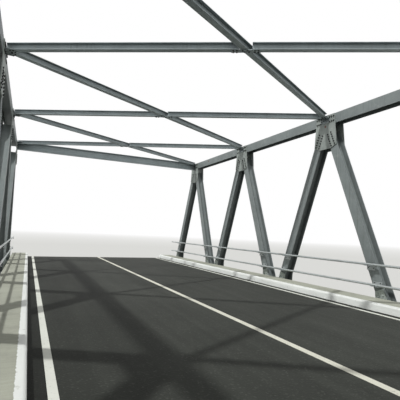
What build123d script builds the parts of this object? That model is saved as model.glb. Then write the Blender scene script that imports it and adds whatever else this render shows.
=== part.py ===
from build123d import *
import math
import os

# One span of a prefabricated steel through-truss road bridge, in millimetres.
# X runs across the road, Y along it and Z up. The origin is midway between the four
# bearings, at the underside of their base plates.

# Layout of the span
PANEL = 5000
PANELS = 6
HALF_SPAN = PANEL * PANELS / 2
TRUSS_HEIGHT = 6210
END_STUB = 400
DECK_END = HALF_SPAN + END_STUB

# Truss members: wide-flange sections on their sides, with the flanges in the truss plane
GUSSET_FACE = 4415
GUSSET_T = 20
MEMBER_DEPTH = 300
CHORD_FLANGE = 300
DIAGONAL_FLANGE = 290
FLANGE_T = 20
WEB_T = 12
SPLICE_GAP = 10
TRUSS_X = GUSSET_FACE + GUSSET_T + MEMBER_DEPTH / 2

# Gusset plates: how far their ears follow the diagonals, and where a diagonal ends in them
TOP_EAR = 920
TOP_START = 400
BOTTOM_EAR = 1450
BOTTOM_START = 900
EAR_HALF = 130
TOP_GUSSET_HALF = 380
BOTTOM_GUSSET_HALF = 560
EAR_DIP = 110
STAY_T = 12
STAY_BELOW_DIP = 20

# Bearings
BASE_T = 40
PAD_T = 80
SOLE_T = 30
BASE_SIZE = (720, 520)
PAD_SIZE = (400, 420)
SOLE_SIZE = (460, 500)
ANCHOR_R = 17
ANCHOR_SPACING = 600

# Levels
GIRDER_DEPTH = 620
STRINGER_DEPTH = 250
SLAB_T = 200
ASPHALT_T = 65
CHORD_UNDERSIDE = BASE_T + PAD_T + SOLE_T
Z_BOTTOM = CHORD_UNDERSIDE + CHORD_FLANGE / 2
Z_TOP = Z_BOTTOM + TRUSS_HEIGHT
Z_GIRDER_TOP = CHORD_UNDERSIDE + GIRDER_DEPTH
Z_STRINGER_TOP = Z_GIRDER_TOP + STRINGER_DEPTH
Z_SLAB_TOP = Z_STRINGER_TOP + SLAB_T
Z_ROAD = Z_SLAB_TOP + ASPHALT_T

# Road, kerb and walkway
ROAD_HALF = 3600
KERB_BATTER = 8
KERB_HEIGHT = 180
KERB_ROUND = 45
WALKWAY_HALF = 4330
WALKWAY_ROUND = 15
JOINT_BAR = 60
JOINT_T = 12

# Ribbed deck form
RIBS = 77
RIB_DEPTH = 60
RIB_FLAT = 150
SHEET_T = 4

# Cross girders and stringers
GIRDER_FLANGE = 300
GIRDER_FLANGE_T = 22
GIRDER_WEB_T = 12
END_PLATE_T = 20
STIFFENER_T = 12
STIFFENER_SETBACK = 10
STRINGER_FLANGE = 175
STRINGER_FLANGE_T = 11
STRINGER_WEB_T = 7
STRINGER_SPACING = 1850
STRINGERS = 5
STRINGER_PIECES = 3

# Overhead bracing
PORTAL_DEPTH = 350
PORTAL_FLANGE = 200
PORTAL_FLANGE_T = 16
PORTAL_WEB_T = 10
BRACE_DEPTH = 150
BRACE_FLANGE = 135
BRACE_FLANGE_T = 10
BRACE_WEB_T = 7
BRACE_RISE = 130
BRACE_MIDDLE_GAP = 130
COPE_GAP = 10
PLATE_T = 12
PLATE_REACH = 220
PORTAL_PLATE_REACH = 480
PLATE_MARGIN = 18
SEAT_LEG = 130
CROSSING_PLATE = (600, 120)

# Bracing under the floor
ANGLE_LEG = 100
ANGLE_T = 10
ANGLE_START = 560
ANGLE_MIDDLE_GAP = 130
LOW_PLATE_REACH = 860
LOW_CROSSING_PLATE = (560, 110)

# Handrails
RAIL_R = 30.15
RAIL_X = 4345
RAIL_HEIGHTS = (480, 985)
RAIL_END = HALF_SPAN + 300
CLEAT_REACH = 150
CLEAT_LEG = 120
CLEAT_T = 10
CLEAT_LENGTH = 250

SIDES = {"left": -1, "right": 1}
BOTTOM_NODES = [PANEL * i - HALF_SPAN for i in range(PANELS + 1)]
TOP_NODES = [y + PANEL / 2 for y in BOTTOM_NODES[:-1]]
# Where bracing lines meet: how far out, and where along the bridge
TOP_CORNERS = (GUSSET_FACE, TOP_NODES)
LOW_CORNERS = (TRUSS_X, BOTTOM_NODES)
LEAN = math.atan2(PANEL / 2, TRUSS_HEIGHT)
UP = Vector(0, 0, 1)


# Shapes that the pieces share

def h_profile(depth, flange, flange_t, web_t):
    """A wide-flange section on its side, with its flanges upright."""
    shape = Rectangle(depth - 2 * flange_t, web_t)
    for side in (-1, 1):
        shape += Pos(side * (depth - flange_t) / 2, 0) * Rectangle(flange_t, flange)
    return shape


def i_profile(depth, flange, flange_t, web_t):
    """A wide-flange section standing on its flange, with its web upright."""
    return Rot(0, 0, 90) * h_profile(depth, flange, flange_t, web_t)


def angle_profile(leg, thickness):
    """An equal angle that lies on one leg, with the other leg up."""
    half = leg / 2
    points = [(-half, 0), (half, 0), (half, thickness), (thickness - half, thickness)]
    points += [(thickness - half, leg), (-half, leg)]
    return make_face(Polyline(*points, close=True))


def bar(profile, start, end, x_dir):
    """A straight member of one section between two points."""
    axis = end - start
    plane = Plane(origin=start, x_dir=x_dir, z_dir=axis)
    return extrude(plane * profile, amount=axis.length)


def level_bar(profile, start, end):
    """A level member, with the section's own upright kept upright."""
    return bar(profile, start, end, UP.cross(end - start))


def run_x(points, start, end):
    """An outline in Y and Z, run along X."""
    plane = Plane(origin=(start, 0, 0), x_dir=(0, 1, 0), z_dir=(1, 0, 0))
    return extrude(plane * make_face(Polyline(*points, close=True)), amount=end - start, dir=(1, 0, 0))


def run_y(points, start, end):
    """An outline in X and Z, run along Y."""
    plane = Plane(origin=(0, start, 0), x_dir=(1, 0, 0), z_dir=(0, -1, 0))
    return extrude(plane * make_face(Polyline(*points, close=True)), amount=end - start, dir=(0, 1, 0))


def run_z(points, start, end):
    """An outline in X and Y, run along Z."""
    face = Pos(0, 0, start) * make_face(Polyline(*points, close=True))
    return extrude(face, amount=end - start, dir=(0, 0, 1))


# Trusses

def chord(side, z, ends):
    """The chord's lengths, with a narrow gap at each node where two of them meet."""
    profile = h_profile(MEMBER_DEPTH, CHORD_FLANGE, FLANGE_T, WEB_T)
    x = side * TRUSS_X
    pieces = []
    for start, end in zip(ends, ends[1:]):
        first = start if start == ends[0] else start + SPLICE_GAP / 2
        last = end if end == ends[-1] else end - SPLICE_GAP / 2
        pieces.append(bar(profile, Vector(x, first, z), Vector(x, last, z), (1, 0, 0)))
    return Compound(pieces)


def bottom_chord(side):
    return chord(side, Z_BOTTOM, [-DECK_END] + BOTTOM_NODES[1:-1] + [DECK_END])


def top_chord(side):
    first = TOP_NODES[0] - TOP_GUSSET_HALF
    last = TOP_NODES[-1] + TOP_GUSSET_HALF
    return chord(side, Z_TOP, [first] + TOP_NODES[1:-1] + [last])


def web_member(side, y_bottom, y_top):
    """A diagonal or an end post, cut back from the nodes at both ends."""
    low = Vector(side * TRUSS_X, y_bottom, Z_BOTTOM)
    high = Vector(side * TRUSS_X, y_top, Z_TOP)
    along = (high - low).normalized()
    profile = h_profile(MEMBER_DEPTH, DIAGONAL_FLANGE, FLANGE_T, WEB_T)
    return bar(profile, low + along * BOTTOM_START, high - along * TOP_START, (1, 0, 0))


def end_posts(side):
    front = web_member(side, BOTTOM_NODES[0], TOP_NODES[0])
    rear = web_member(side, BOTTOM_NODES[-1], TOP_NODES[-1])
    return Compound([front, rear])


def diagonals(side):
    half = PANEL / 2
    return Compound([web_member(side, y, y + d) for y in BOTTOM_NODES[1:-1] for d in (-half, half)])


def ear(length, lean):
    """The outer and inner corners of a gusset's ear round a member that goes up from the node."""
    along = (lean * math.sin(LEAN), math.cos(LEAN))
    across = (lean * math.cos(LEAN), -math.sin(LEAN))
    middle = (along[0] * length, along[1] * length)
    outer = (middle[0] + across[0] * EAR_HALF, middle[1] + across[1] * EAR_HALF)
    inner = (middle[0] - across[0] * EAR_HALF, middle[1] - across[1] * EAR_HALF)
    return outer, inner


def top_gusset_outline(y_node):
    """A plate flush with the top of the chord, which widens down to an ear on each diagonal."""
    top = -CHORD_FLANGE / 2
    outer, inner = ear(TOP_EAR, 1)
    half = [(TOP_GUSSET_HALF, top), outer, inner]
    points = half + [(-y, z) for y, z in reversed(half)]
    return [(y_node + y, Z_TOP - z) for y, z in points]


def bottom_gusset_outline(y_node):
    """A tall plate on the bottom chord, with an ear up each diagonal and a dip between them."""
    half = CHORD_FLANGE / 2
    dip = Z_ROAD + EAR_DIP - Z_BOTTOM
    dip_y = dip * math.tan(LEAN) - EAR_HALF / math.cos(LEAN)
    first, last = y_node == BOTTOM_NODES[0], y_node == BOTTOM_NODES[-1]
    right = [(END_STUB, half), (dip_y / 2, dip)]
    left = [(-dip_y / 2, dip), (-END_STUB, half)]
    if not last:
        outer, inner = ear(BOTTOM_EAR, 1)
        right = [(BOTTOM_GUSSET_HALF, half), outer, inner, (dip_y, dip)]
    if not first:
        outer, inner = ear(BOTTOM_EAR, -1)
        left = [(-dip_y, dip), inner, outer, (-BOTTOM_GUSSET_HALF, half)]
    points = [(left[-1][0], -half), (right[0][0], -half)] + right + left
    return [(y_node + y, Z_BOTTOM + z) for y, z in points]


def gussets(side, outlines):
    """Each node has two plates, one on the road side of the truss and one outside."""
    pieces = []
    for outline in outlines:
        for face in (GUSSET_FACE, GUSSET_FACE + GUSSET_T + MEMBER_DEPTH):
            start = face if side > 0 else -face - GUSSET_T
            pieces.append(run_x(outline, start, start + GUSSET_T))
    return Compound(pieces)


def top_gussets(side):
    return gussets(side, [top_gusset_outline(y) for y in TOP_NODES])


def bottom_gussets(side):
    return gussets(side, [bottom_gusset_outline(y) for y in BOTTOM_NODES])


def gusset_stays(side):
    """Upright plates between each pair of bottom gussets, in line with the cross girder's web."""
    low = CHORD_UNDERSIDE + CHORD_FLANGE
    high = Z_ROAD + EAR_DIP - STAY_BELOW_DIP
    plate = Pos(side * TRUSS_X, 0, (low + high) / 2) * Box(MEMBER_DEPTH, STAY_T, high - low)
    return Compound([Pos(0, y, 0) * plate for y in BOTTOM_NODES])


# Bracing

def point_along(start, end, distance):
    return start + (end - start).normalized() * distance


def bay_lines(corners, z):
    """For each bay, the line of its through member and the line of the pair that is split."""
    x, nodes = corners
    lines = []
    for near, far in zip(nodes, nodes[1:]):
        through = (Vector(-x, near, z), Vector(x, far, z))
        split = (Vector(x, near, z), Vector(-x, far, z))
        lines.append((through, split))
    return lines


def through_members(profile, corners, z, end_gap):
    pieces = []
    for (a, b), _ in bay_lines(corners, z):
        pieces.append(level_bar(profile, point_along(a, b, end_gap), point_along(b, a, end_gap)))
    return Compound(pieces)


def split_members(profile, corners, z, end_gap, middle_gap):
    pieces = []
    for _, line in bay_lines(corners, z):
        middle = (line[0] + line[1]) / 2
        for corner in line:
            outer = point_along(corner, middle, end_gap)
            inner = point_along(middle, corner, middle_gap)
            pieces.append(level_bar(profile, outer, inner))
    return Compound(pieces)


def brace_corners(corner_x, reach, half_width):
    """A plate's corners round a brace: on the gusset face, then the two at the plate's end."""
    lean = math.atan2(PANEL, 2 * corner_x)
    sin, cos = math.sin(lean), math.cos(lean)
    x, y = corner_x - reach * cos, reach * sin
    foot = (GUSSET_FACE, (corner_x - GUSSET_FACE) * math.tan(lean) + half_width / cos)
    outer = (x + half_width * sin, y + half_width * cos)
    inner = (x - half_width * sin, y - half_width * cos)
    return foot, outer, inner


def corner_outline(corners, web_t, flange):
    """A plate in the corner of a truss and a cross beam, cut round the beam's end plate."""
    foot, outer, inner = corners
    inside = GUSSET_FACE - END_PLATE_T
    points = [(inside, web_t / 2), (inside, flange / 2), (GUSSET_FACE, flange / 2)]
    return points + [foot, outer, inner, (inner[0], web_t / 2)]


def top_node_plate(side, y_node):
    """A level plate under the brace ends, with a leg turned down on the gusset."""
    half_width = BRACE_FLANGE / 2 + PLATE_MARGIN
    _, outer, inner = brace_corners(GUSSET_FACE, PLATE_REACH, half_width)
    foot = (GUSSET_FACE, outer[1])
    if y_node in (TOP_NODES[0], TOP_NODES[-1]):
        turn = 1 if y_node == TOP_NODES[0] else -1
        _, *end = brace_corners(GUSSET_FACE, PORTAL_PLATE_REACH, half_width)
        outline = corner_outline((foot, *end), PORTAL_WEB_T, PORTAL_FLANGE)
        points = [(x, turn * y) for x, y in outline]
        leg = (turn * PORTAL_FLANGE / 2, turn * foot[1])
    else:
        corners = [foot, outer, inner]
        points = corners + [(x, -y) for x, y in reversed(corners)]
        leg = (-foot[1], foot[1])
    top = Z_TOP + BRACE_RISE - BRACE_DEPTH / 2
    plate = run_z([(side * x, y_node + y) for x, y in points], top - PLATE_T, top)
    x = side * (GUSSET_FACE - PLATE_T / 2)
    z = top - PLATE_T - SEAT_LEG / 2
    return plate + Pos(x, y_node + sum(leg) / 2, z) * Box(PLATE_T, abs(leg[1] - leg[0]), SEAT_LEG)


def splice_plates(size, corners, z):
    """In each bay, a level plate along the split member, across the through member."""
    pieces = []
    for _, (start, end) in bay_lines(corners, z):
        turn = math.degrees(math.atan2(end.Y - start.Y, end.X - start.X))
        middle = (start + end) / 2 + UP * PLATE_T / 2
        pieces.append(Pos(*middle) * Rot(0, 0, turn) * Box(*size, PLATE_T))
    return pieces


def top_bracing_plates():
    """Plates under the braces, at the nodes and where two braces cross."""
    underside = Z_TOP + BRACE_RISE - BRACE_DEPTH / 2
    pieces = [top_node_plate(side, y) for side in SIDES.values() for y in TOP_NODES]
    return Compound(pieces + splice_plates(CROSSING_PLATE, TOP_CORNERS, underside - PLATE_T))


def brace_profile():
    return i_profile(BRACE_DEPTH, BRACE_FLANGE, BRACE_FLANGE_T, BRACE_WEB_T)


def in_bay(brace):
    """A brace cut off along the node lines of its bay, and just short of the gussets."""
    near = max(y for y in TOP_NODES if y < brace.center().Y)
    bay = Box(2 * (GUSSET_FACE - COPE_GAP), PANEL - COPE_GAP, BRACE_DEPTH)
    return brace & Pos(0, near + PANEL / 2, Z_TOP + BRACE_RISE) * bay


def coped(braces):
    """Braces notched round the portal beams, so that only their top flanges run on over them."""
    low = Z_TOP + BRACE_RISE - BRACE_DEPTH / 2
    high = Z_TOP + CHORD_FLANGE / 2 + COPE_GAP
    width = PORTAL_FLANGE + 2 * COPE_GAP
    notch = Pos(0, 0, (low + high) / 2) * Box(2 * GUSSET_FACE, width, high - low)
    notches = [Pos(0, y, 0) * notch for y in (TOP_NODES[0], TOP_NODES[-1])]
    return Compound([in_bay(brace) - notches for brace in braces.solids()])


def top_bracing_long():
    z = Z_TOP + BRACE_RISE
    return coped(through_members(brace_profile(), TOP_CORNERS, z, 0))


def top_bracing_short():
    z = Z_TOP + BRACE_RISE
    return coped(split_members(brace_profile(), TOP_CORNERS, z, 0, BRACE_MIDDLE_GAP))


def portal_beam(y):
    """The deep beam over the end of the road, flush with the top of the chords."""
    z = Z_TOP + CHORD_FLANGE / 2 - PORTAL_DEPTH / 2
    reach = GUSSET_FACE - END_PLATE_T
    profile = i_profile(PORTAL_DEPTH, PORTAL_FLANGE, PORTAL_FLANGE_T, PORTAL_WEB_T)
    beam = level_bar(profile, Vector(-reach, y, z), Vector(reach, y, z))
    for side in SIDES.values():
        x = side * (GUSSET_FACE - END_PLATE_T / 2)
        beam += Pos(x, y, z) * Box(END_PLATE_T, PORTAL_FLANGE, PORTAL_DEPTH)
    return beam


def low_node_plate(side, turn, y_node):
    """A level plate on a cross girder's bottom flange, in the corner with the truss."""
    corners = brace_corners(TRUSS_X, LOW_PLATE_REACH, ANGLE_LEG / 2 + PLATE_MARGIN)
    points = corner_outline(corners, GIRDER_WEB_T, GIRDER_FLANGE)
    z = CHORD_UNDERSIDE + GIRDER_FLANGE_T
    return run_z([(side * x, y_node + turn * y) for x, y in points], z, z + PLATE_T)


def low_brace_level():
    return CHORD_UNDERSIDE + GIRDER_FLANGE_T + PLATE_T


def bottom_bracing_plates():
    pieces = []
    for near, far in zip(BOTTOM_NODES, BOTTOM_NODES[1:]):
        for side in SIDES.values():
            pieces += [low_node_plate(side, 1, near), low_node_plate(side, -1, far)]
    pieces += splice_plates(LOW_CROSSING_PLATE, LOW_CORNERS, low_brace_level() - PLATE_T)
    return Compound(pieces)


def bottom_bracing_long():
    profile = angle_profile(ANGLE_LEG, ANGLE_T)
    return through_members(profile, LOW_CORNERS, low_brace_level(), ANGLE_START)


def bottom_bracing_short():
    profile = angle_profile(ANGLE_LEG, ANGLE_T)
    return split_members(profile, LOW_CORNERS, low_brace_level(), ANGLE_START, ANGLE_MIDDLE_GAP)


# Floor

def stringer_lines():
    return [(i - (STRINGERS - 1) / 2) * STRINGER_SPACING for i in range(STRINGERS)]


def cross_girder(y):
    """A deep beam between the trusses, with end plates, and stiffeners under each stringer."""
    z = CHORD_UNDERSIDE + GIRDER_DEPTH / 2
    reach = GUSSET_FACE - END_PLATE_T
    profile = i_profile(GIRDER_DEPTH, GIRDER_FLANGE, GIRDER_FLANGE_T, GIRDER_WEB_T)
    girder = level_bar(profile, Vector(-reach, y, z), Vector(reach, y, z))
    for side in SIDES.values():
        x = side * (GUSSET_FACE - END_PLATE_T / 2)
        girder += Pos(x, y, z) * Box(END_PLATE_T, GIRDER_FLANGE, GIRDER_DEPTH)
    height = GIRDER_DEPTH - 2 * GIRDER_FLANGE_T
    width = GIRDER_FLANGE - 2 * STIFFENER_SETBACK
    for x in stringer_lines():
        girder += Pos(x, y, z) * Box(STIFFENER_T, width, height)
    return girder


def stringer(x):
    """A floor beam over the cross girders, in lengths that meet over a girder."""
    profile = i_profile(STRINGER_DEPTH, STRINGER_FLANGE, STRINGER_FLANGE_T, STRINGER_WEB_T)
    z = Z_GIRDER_TOP + STRINGER_DEPTH / 2
    joints = BOTTOM_NODES[::len(BOTTOM_NODES) // STRINGER_PIECES][1:-1]
    ends = [-DECK_END] + joints + [DECK_END]
    pieces = []
    for start, end in zip(ends, ends[1:]):
        first = start if start == ends[0] else start + SPLICE_GAP / 2
        last = end if end == ends[-1] else end - SPLICE_GAP / 2
        pieces.append(level_bar(profile, Vector(x, first, z), Vector(x, last, z)))
    return Compound(pieces)


def rib_line(z):
    """The ribbed form's line from one end of the deck to the other: pans with ribs between."""
    pitch = 2 * DECK_END / RIBS
    slope = pitch / 2 - RIB_FLAT
    points = []
    for i in range(RIBS):
        y = i * pitch - DECK_END
        points.append((y + RIB_FLAT / 2, z))
        points.append((y + RIB_FLAT / 2 + slope, z + RIB_DEPTH))
        points.append((y + RIB_FLAT * 1.5 + slope, z + RIB_DEPTH))
        points.append((y + RIB_FLAT * 1.5 + 2 * slope, z))
    return [(-DECK_END, z)] + points + [(DECK_END, z)]


def deck_sheeting():
    low, high = rib_line(Z_STRINGER_TOP), rib_line(Z_STRINGER_TOP + SHEET_T)
    return run_x(low + high[::-1], -WALKWAY_HALF, WALKWAY_HALF)


def deck_slab():
    low = rib_line(Z_STRINGER_TOP + SHEET_T)
    points = low + [(DECK_END, Z_SLAB_TOP), (-DECK_END, Z_SLAB_TOP)]
    return run_x(points, -WALKWAY_HALF, WALKWAY_HALF)


def road_surface():
    length = 2 * (DECK_END - JOINT_BAR)
    return Pos(0, 0, Z_SLAB_TOP + ASPHALT_T / 2) * Box(2 * ROAD_HALF, length, ASPHALT_T)


def walkway(side):
    """The kerb and the raised walkway behind it, cast in one."""
    top = Z_ROAD + KERB_HEIGHT
    points = [(ROAD_HALF, Z_SLAB_TOP), (ROAD_HALF, Z_ROAD), (ROAD_HALF + KERB_BATTER, top)]
    points += [(WALKWAY_HALF, top), (WALKWAY_HALF, Z_SLAB_TOP)]
    solid = run_y([(side * x, z) for x, z in points], -DECK_END, DECK_END)
    for place, radius in ((0, KERB_ROUND), (-1, WALKWAY_ROUND)):
        edges = solid.edges().filter_by(Axis.Y).group_by(Axis.Z)[-1].sort_by(Axis.X)
        solid = fillet(edges[::side][place], radius)
    return solid


def expansion_joint(end):
    """The steel bar along the end of the road, with a plate down the end of the slab."""
    outside = DECK_END + JOINT_T
    points = [(DECK_END - JOINT_BAR, Z_SLAB_TOP), (DECK_END - JOINT_BAR, Z_ROAD), (outside, Z_ROAD)]
    points += [(outside, Z_STRINGER_TOP), (DECK_END, Z_STRINGER_TOP), (DECK_END, Z_SLAB_TOP)]
    return run_x([(end * y, z) for y, z in points], -ROAD_HALF, ROAD_HALF)


# Handrails

def handrail(side):
    """Two pipes along the inside of the truss, from one end of the deck to the other."""
    pipe = Rot(90, 0, 0) * Cylinder(RAIL_R, 2 * RAIL_END)
    return Compound([Pos(side * RAIL_X, 0, Z_ROAD + height) * pipe for height in RAIL_HEIGHTS])


def cleat(side, y, z_rail, upright):
    """An angle across a member's flange, whose level leg carries the rail."""
    seat = z_rail - RAIL_R
    back = GUSSET_FACE + GUSSET_T
    front = back - CLEAT_REACH
    if upright > 0:
        low, high = seat - CLEAT_T, seat - CLEAT_T + CLEAT_LEG
        points = [(front, low), (back, low), (back, high), (back - CLEAT_T, high)]
        points += [(back - CLEAT_T, seat), (front, seat)]
    else:
        low = seat - CLEAT_LEG
        points = [(front, seat), (back, seat), (back, low), (back - CLEAT_T, low)]
        points += [(back - CLEAT_T, seat - CLEAT_T), (front, seat - CLEAT_T)]
    points = [(side * x, z) for x, z in points]
    return run_y(points, y - CLEAT_LENGTH / 2, y + CLEAT_LENGTH / 2)


def rail_brackets():
    pieces = []
    for low, high in zip(BOTTOM_NODES, TOP_NODES):
        for foot, step in ((low, 1), (low + PANEL, -1)):
            for height, upright in zip(RAIL_HEIGHTS, (1, -1)):
                z = Z_ROAD + height
                y = foot + step * (z - Z_BOTTOM) * math.tan(LEAN)
                pieces += [cleat(side, y, z, upright) for side in SIDES.values()]
    return Compound(pieces)


# Bearings

def at_bearings(make):
    places = [(x, y) for x in (-TRUSS_X, TRUSS_X) for y in (-HALF_SPAN, HALF_SPAN)]
    return Compound([Pos(x, y, 0) * make() for x, y in places])


def bearing_base():
    plate = Pos(0, 0, BASE_T / 2) * Box(*BASE_SIZE, BASE_T)
    holes = GridLocations(ANCHOR_SPACING, ANCHOR_SPACING, 2, 1) * Cylinder(ANCHOR_R, 3 * BASE_T)
    return plate - holes


def bearing_pad():
    return Pos(0, 0, BASE_T + PAD_T / 2) * Box(*PAD_SIZE, PAD_T)


def bearing_sole():
    return Pos(0, 0, BASE_T + PAD_T + SOLE_T / 2) * Box(*SOLE_SIZE, SOLE_T)


def all_pieces():
    """Every node of the span by name."""
    pieces = {}
    per_side = (bottom_chord, top_chord, end_posts, diagonals, top_gussets, bottom_gussets)
    per_side += (gusset_stays, walkway, handrail)
    for name, side in SIDES.items():
        for make in per_side:
            pieces[f"{make.__name__}_{name}"] = make(side)
    pieces["portal_beam_front"] = portal_beam(TOP_NODES[0])
    pieces["portal_beam_rear"] = portal_beam(TOP_NODES[-1])
    pieces["expansion_joint_front"] = expansion_joint(-1)
    pieces["expansion_joint_rear"] = expansion_joint(1)
    for i, y in enumerate(BOTTOM_NODES, 1):
        pieces[f"cross_girder_{i}"] = cross_girder(y)
    for i, x in enumerate(stringer_lines(), 1):
        pieces[f"stringer_{i}"] = stringer(x)
    single = (top_bracing_long, top_bracing_short, top_bracing_plates, bottom_bracing_long)
    single += (bottom_bracing_short, bottom_bracing_plates, deck_sheeting, deck_slab)
    single += (road_surface, rail_brackets)
    for make in single:
        pieces[make.__name__] = make()
    pieces["bearing_base_plates"] = at_bearings(bearing_base)
    pieces["bearing_pads"] = at_bearings(bearing_pad)
    pieces["bearing_sole_plates"] = at_bearings(bearing_sole)
    return pieces


os.makedirs("parts", exist_ok=True)
for node, shape in all_pieces().items():
    export_step(shape, f"parts/{node}.step")
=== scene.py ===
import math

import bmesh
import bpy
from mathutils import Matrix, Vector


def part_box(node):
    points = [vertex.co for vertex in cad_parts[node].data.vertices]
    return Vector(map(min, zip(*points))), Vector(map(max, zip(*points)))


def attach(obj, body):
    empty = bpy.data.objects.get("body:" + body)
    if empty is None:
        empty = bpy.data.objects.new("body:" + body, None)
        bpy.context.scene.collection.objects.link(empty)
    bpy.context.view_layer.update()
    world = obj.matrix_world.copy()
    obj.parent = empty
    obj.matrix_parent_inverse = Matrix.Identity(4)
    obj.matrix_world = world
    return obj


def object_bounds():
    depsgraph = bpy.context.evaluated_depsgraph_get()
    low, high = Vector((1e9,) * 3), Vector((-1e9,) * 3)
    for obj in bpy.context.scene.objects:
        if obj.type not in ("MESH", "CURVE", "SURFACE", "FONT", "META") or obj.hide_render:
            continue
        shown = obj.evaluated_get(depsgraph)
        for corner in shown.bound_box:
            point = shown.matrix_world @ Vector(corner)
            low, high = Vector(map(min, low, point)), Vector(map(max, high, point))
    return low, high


bl_info = {
    "name": "Truss Bridge Span",
    "version": (1, 0, 0),
    "blender": (4, 5, 0),
    "location": "View3D > Sidebar > Truss Bridge",
    "description": "Finishes, bolts, rail clamps and road lines for a steel truss bridge span",
    "category": "Add Mesh",
}

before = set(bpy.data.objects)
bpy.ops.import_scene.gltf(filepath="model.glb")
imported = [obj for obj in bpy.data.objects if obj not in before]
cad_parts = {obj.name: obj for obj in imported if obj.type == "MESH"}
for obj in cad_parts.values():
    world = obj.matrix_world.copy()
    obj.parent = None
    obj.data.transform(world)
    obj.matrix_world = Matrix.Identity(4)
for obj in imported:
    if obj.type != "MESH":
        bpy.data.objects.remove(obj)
CAD_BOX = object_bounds()


# Places read from the frame, in metres

def middle(node, axis):
    """The middle of a CAD node's box along one axis."""
    low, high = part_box(node)
    return (low[axis] + high[axis]) / 2


GIRDERS = [node for node in sorted(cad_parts) if node.startswith("cross_girder_")]
BOTTOM_NODES = [middle(node, 1) for node in GIRDERS]
TOP_NODES = [(a + b) / 2 for a, b in zip(BOTTOM_NODES, BOTTOM_NODES[1:])]
PANEL = BOTTOM_NODES[1] - BOTTOM_NODES[0]
Z_BOTTOM = middle("bottom_chord_right", 2)
Z_TOP = middle("top_chord_right", 2)
TRUSS_X = middle("top_chord_right", 0)
LEAN = math.atan2(PANEL / 2, Z_TOP - Z_BOTTOM)
INNER_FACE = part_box("top_gussets_right")[0].x
OUTER_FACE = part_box("top_gussets_right")[1].x
# Where bracing lines meet: how far out, and where along the bridge
TOP_CORNERS = (INNER_FACE, TOP_NODES)
LOW_CORNERS = (TRUSS_X, BOTTOM_NODES)
# The sides of the end nodes on which the chord stops
TOP_CHORD_STOPS = {(TOP_NODES[0], -1), (TOP_NODES[-1], 1)}
BOTTOM_CHORD_STOPS = {(BOTTOM_NODES[0], -1), (BOTTOM_NODES[-1], 1)}
PORTALS = (TOP_NODES[0], TOP_NODES[-1])
ROAD_LOW, ROAD_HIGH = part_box("road_surface")
KERB_FOOT = ROAD_HIGH.x
RAIL_LOW, RAIL_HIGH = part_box("handrail_right")
RAIL_R = (RAIL_HIGH.x - RAIL_LOW.x) / 2
RAIL_X = middle("handrail_right", 0)
RAIL_LEVELS = (RAIL_LOW.z + RAIL_R, RAIL_HIGH.z - RAIL_R)
BRACE_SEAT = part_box("top_bracing_long")[0].z
ANGLE_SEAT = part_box("bottom_bracing_long")[0].z
STRINGER_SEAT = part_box("stringer_1")[0].z
STRINGERS = [middle(node, 0) for node in sorted(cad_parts) if node.startswith("stringer_")]
SIDES = {"left": -1, "right": 1}

# Thicknesses of the CAD plates and flanges that bolts stand on
PLATE_T = 0.012
END_PLATE_T = 0.020
BRACE_FLANGE_T = 0.010
ANGLE_T = 0.010
STRINGER_FLANGE_T = 0.011
CLEAT_T = 0.010
END_PLATE_FACE = INNER_FACE - END_PLATE_T


# Sizes and colours that a user may change

def linear(code):
    """An sRGB hex colour as linear red, green and blue."""
    channels = [int(code[i:i + 2], 16) / 255 for i in (1, 3, 5)]
    return [c / 12.92 if c <= 0.04045 else ((c + 0.055) / 1.055) ** 2.4 for c in channels]


def colour(name, code, description):
    return bpy.props.FloatVectorProperty(
        name=name, description=description, subtype="COLOR", size=3, min=0, max=1, default=linear(code))


def size(name, metres, description):
    return bpy.props.FloatProperty(
        name=name, description=description, unit="LENGTH", default=metres, min=0)


def fraction(name, value, description):
    return bpy.props.FloatProperty(
        name=name, description=description, subtype="FACTOR", default=value, min=0, max=1)


class SteelFinish(bpy.types.PropertyGroup):
    """Colours of the galvanised steelwork."""
    section: colour("Sections", "#949C9B", "Weathered zinc on the chords and the diagonals")
    # The braces share the sections' zinc; their lighter colour is partly their bluer tone and partly painted
    # light that lifts their shaded webs
    brace: colour("Braces", "#BFCACC", "Bluer zinc on the braces and the portal beams")
    plate: colour("Plates", "#AAB2AD", "Weathered zinc on the gusset plates")
    rail: colour("Rails", "#B9BFBE", "Brighter zinc on the handrail pipes")
    sheet: colour("Deck form", "#B4B9B9", "Zinc on the ribbed deck form")
    # The bolts' dark colour is partly painted shade for the small shadows that their heads cast on the plates
    bolt: colour("Bolts", "#323534", "Dull zinc on the bolts and their washers")
    bloom: colour("Bloom", "#C4C8C2", "Pale zinc salts where rain has dried")
    grime: colour("Grime", "#585B57", "Dirt that rain leaves in streaks")
    rust: colour("Rust", "#7C4634", "Small rust stains")


class DeckFinish(bpy.types.PropertyGroup):
    """Colours of the road, the walkways and the paint."""
    asphalt: colour("Asphalt", "#373935", "Bitumen and stone of the road")
    stone: colour("Stone", "#545550", "Stone that traffic has polished bare")
    concrete: colour("Concrete", "#9EA092", "Bare concrete of the walkways and the slab")
    damp: colour("Damp", "#7F8076", "Darker patches in the concrete")
    kerb_paint: colour("Kerb paint", "#F9FCF7", "White paint on the kerbs")
    middle_paint: colour("Middle line paint", "#D0CFC0", "Creamy off-white paint of the middle line")
    edge_paint: colour("Edge line paint", "#D3D5CB", "Whiter paint of the edge lines")
    rubber: colour("Rubber", "#232423", "Bearing rubber")
    joint: colour("Joint steel", "#6A6660", "Dirty steel of the expansion joints")


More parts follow.
